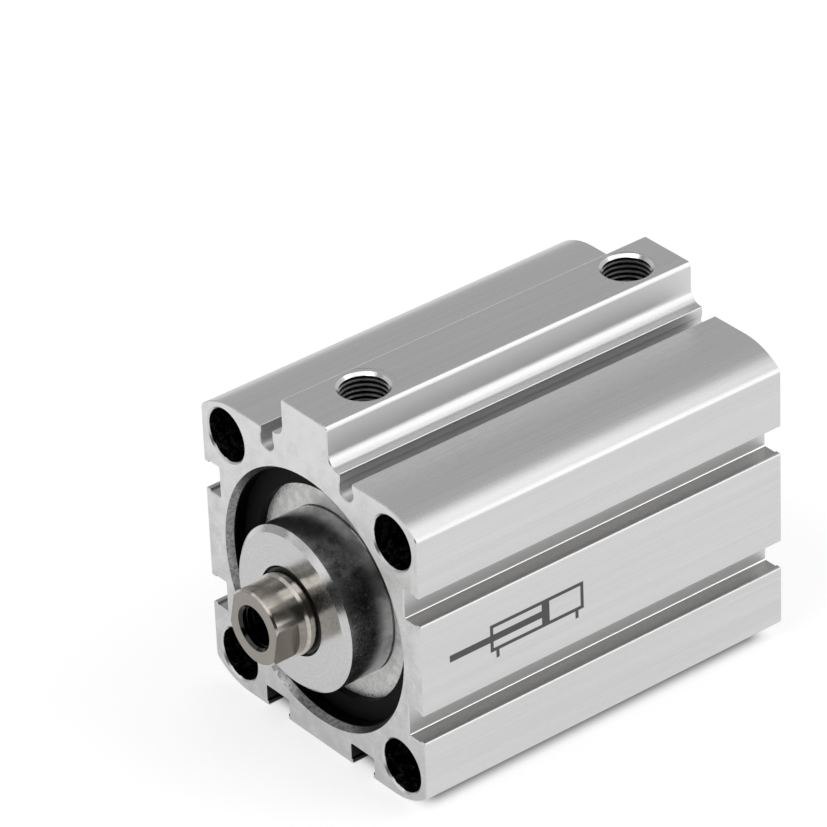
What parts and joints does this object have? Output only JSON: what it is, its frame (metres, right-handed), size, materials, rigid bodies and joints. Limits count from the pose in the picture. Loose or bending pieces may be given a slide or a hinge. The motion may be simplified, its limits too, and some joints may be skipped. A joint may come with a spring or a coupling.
{
  "type": "compact pneumatic cylinder",
  "caption": "Double-acting compact air cylinder with a square extruded barrel, port rail, sensor slots and a female-threaded rod end.",
  "frame": {"origin": "rod axis where it crosses the front mounting face", "axes": "rod leaves towards -Y, barrel runs towards +Y, ports open towards +Z"},
  "size_m": [0.078, 0.124, 0.0888],
  "materials": {
    "anodised_aluminium": "satin, natural anodised, fine lines along the extrusion",
    "turned_aluminium": "fine turned",
    "black_spring_steel": "black phosphated",
    "seal_rubber": "smooth nitrile",
    "bearing_bronze": "sintered",
    "bumper_rubber": "moulded polyurethane",
    "guide_plastic": "acetal",
    "rod_steel": "ground stainless",
    "piston_aluminium": "turned",
    "screw_steel": "black oxide",
    "bonded_magnet": "plastic-bonded ferrite"
  },
  "bodies": {
    "cylinder_body": {"barrel": "anodised_aluminium", "front_cover": "turned_aluminium", "rear_cover": "turned_aluminium", "front_retaining_ring": "black_spring_steel", "rear_retaining_ring": "black_spring_steel", "front_cover_o_ring": "seal_rubber", "rear_cover_o_ring": "seal_rubber", "rod_wiper": "seal_rubber", "rod_seal": "seal_rubber", "rod_bush": "bearing_bronze", "front_bumper": "bumper_rubber", "rear_bumper": "bumper_rubber"},
    "piston_packing": {"front_piston_seal": "seal_rubber", "rear_piston_seal": "seal_rubber", "piston_guide_ring": "guide_plastic"},
    "rod_and_piston": {"piston_rod": "rod_steel", "piston_front_half": "piston_aluminium", "piston_rear_half": "piston_aluminium", "piston_screw": "screw_steel", "piston_screw_washer": "screw_steel", "piston_bore_o_ring": "seal_rubber", "piston_magnet": "bonded_magnet"}
  },
  "joints": [
    {"name": "rod_slide", "type": "slide", "parent": "cylinder_body", "child": "piston_packing", "axis": [0, -1, 0], "range_m": [0, 0.05]},
    {"name": "rod_turn", "type": "hinge", "parent": "piston_packing", "child": "rod_and_piston", "pos_m": [0, 0, 0], "axis": [0, 1, 0], "continuous": true}
  ]
}
